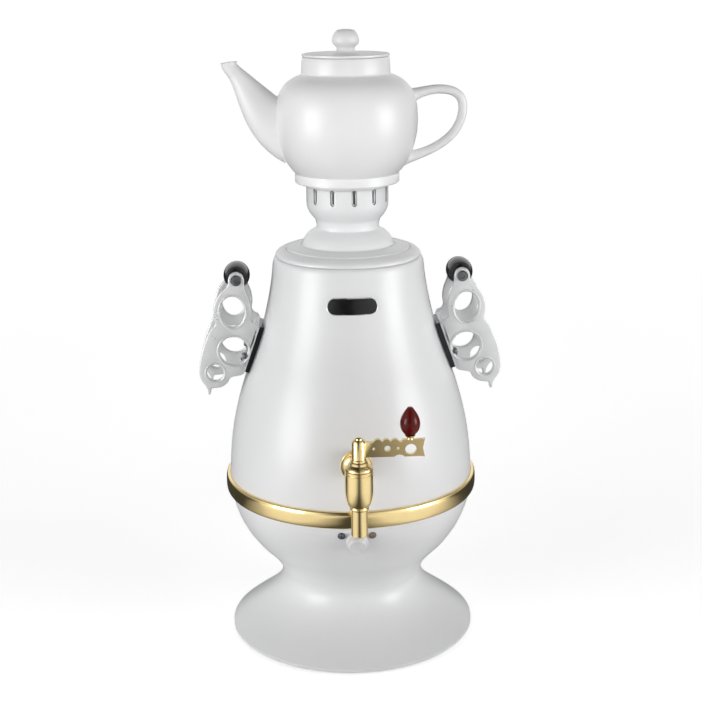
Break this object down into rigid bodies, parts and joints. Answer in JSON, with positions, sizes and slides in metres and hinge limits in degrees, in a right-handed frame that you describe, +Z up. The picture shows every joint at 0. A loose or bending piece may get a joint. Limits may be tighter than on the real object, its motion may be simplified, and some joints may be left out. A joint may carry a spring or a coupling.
{
  "type": "electric samovar",
  "caption": "Pear-shaped electric samovar that boils water and keeps a porcelain teapot warm on its slotted crown, with a lever tap, scrolled side handles and a flared foot.",
  "frame": {"origin": "on the table under the centre of the round body", "axes": "+Z up along the body's axis, -Y out of the tap, +X towards the teapot's handle and the closed tap lever"},
  "size_m": [0.2464, 0.2557, 0.5037],
  "materials": {
    "pearl_shell": "pearl enamel, gloss",
    "crown_metal": "pearl enamel, gloss",
    "steel_sheet": "satin",
    "steel_hardware": "bright",
    "element_steel": "satin",
    "rubber_black": "matt",
    "silicone": "matt",
    "gold_plate": "polished",
    "plain_brass": "satin",
    "ruby": "clear gloss",
    "cast_alloy": "polished casting",
    "cap_metal": "dark satin",
    "black_plastic": "gloss",
    "dial_plastic": "gloss",
    "cream_plastic": "matt",
    "cutout_body": "matt",
    "lamp_lens": "clear gloss",
    "lamp_lens_warm": "clear gloss",
    "wire_live": "satin",
    "wire_neutral": "satin",
    "wire_earth": "satin",
    "porcelain": "glazed"
  },
  "bodies": {
    "root": {"foot_shell": "pearl_shell", "base_plate": "steel_sheet", "base_screws": "steel_hardware", "rubber_feet": "rubber_black", "waist_bolts": "steel_hardware", "waist_nuts": "steel_hardware", "lower_bowl": "pearl_shell", "power_inlet": "black_plastic", "inlet_pins": "plain_brass", "thermostat": "cream_plastic", "thermostat_nut": "steel_hardware", "heating_lamp": "lamp_lens", "keep_warm_lamp": "lamp_lens_warm", "terminal_block": "cream_plastic", "thermal_cutout": "cutout_body", "cutout_clip": "steel_sheet", "clip_nuts": "steel_hardware", "wires_live": "wire_live", "wires_neutral": "wire_neutral", "wires_earth": "wire_earth", "wire_link": "wire_live", "belt_ring": "gold_plate", "vessel_shell": "pearl_shell", "vessel_floor": "steel_sheet", "heating_element": "element_steel", "element_seals": "silicone", "element_nuts": "steel_hardware", "badge": "black_plastic", "tap_body": "gold_plate", "tap_outer_seal": "silicone", "tap_inner_seal": "silicone", "tap_nut": "gold_plate", "spring_washer": "steel_hardware", "tap_bonnet": "gold_plate", "tap_o_ring": "rubber_black", "left_handle_bracket": "cast_alloy", "right_handle_bracket": "cast_alloy", "handle_spacers": "black_plastic", "handle_screws": "steel_hardware", "handle_seals": "silicone", "handle_nuts": "steel_hardware", "left_grip": "black_plastic", "right_grip": "black_plastic", "grip_rods": "steel_hardware", "grip_caps": "cap_metal"},
    "lid": {"samovar_lid": "pearl_shell", "crown": "crown_metal", "crown_nut": "steel_hardware"},
    "pot": {"teapot": "porcelain"},
    "strainer": {"tea_strainer": "steel_sheet"},
    "pot_lid": {"teapot_lid": "porcelain"},
    "tap_handle": {"tap_plug": "plain_brass", "tap_lever": "gold_plate", "lever_screw": "gold_plate", "knob_cup": "gold_plate", "lever_knob": "ruby"},
    "dial": {"thermostat_knob": "dial_plastic", "thermostat_spindle": "steel_hardware"}
  },
  "joints": [
    {"name": "lid_lift", "type": "slide", "parent": "root", "child": "lid", "axis": [0, 0, 1], "range_m": [0, 0.12]},
    {"name": "pot_lift", "type": "slide", "parent": "lid", "child": "pot", "axis": [0, 0, 1], "range_m": [0, 0.1]},
    {"name": "strainer_lift", "type": "slide", "parent": "pot", "child": "strainer", "axis": [0, 0, 1], "range_m": [0, 0.09]},
    {"name": "pot_lid_lift", "type": "slide", "parent": "strainer", "child": "pot_lid", "axis": [0, 0, 1], "range_m": [0, 0.08]},
    {"name": "tap_turn", "type": "hinge", "parent": "root", "child": "tap_handle", "pos_m": [0, -0.14, 0.2], "axis": [0, 0, 1], "range_deg": [-90, 0]},
    {"name": "dial_turn", "type": "hinge", "parent": "root", "child": "dial", "pos_m": [0, -0.09853, 0.116], "axis": [0, -0.9586, -0.2847], "range_deg": [0, 270]}
  ]
}
